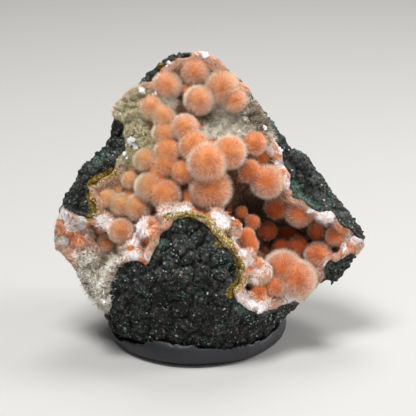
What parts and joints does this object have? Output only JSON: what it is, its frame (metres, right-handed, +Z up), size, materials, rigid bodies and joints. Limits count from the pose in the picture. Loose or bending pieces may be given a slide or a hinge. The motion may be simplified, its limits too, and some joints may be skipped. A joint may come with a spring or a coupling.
{
  "type": "thomsonite with mesolite specimen on a putty pad",
  "caption": "Mineral specimen: dark basalt with a hollow lined by furry orange thomsonite balls and mesolite, standing on a round putty pad.",
  "frame": {"origin": "centre of the putty pad's flat underside", "axes": "+Z up, the hollow opens towards -Y, +X to the right of a person who looks at the hollow"},
  "size_m": [0.0729, 0.048, 0.0673],
  "materials": {
    "basalt": "rough dark grey-black basalt with blue-green and pale grains",
    "thomsonite_mesolite": "furry radiating needles, orange under a white bloom",
    "dark_putty": "soft matte charcoal putty"
  },
  "bodies": {
    "root": {"basalt_matrix": "basalt", "thomsonite_mesolite_crust": "thomsonite_mesolite", "putty_pad": "dark_putty"}
  },
  "joints": []
}
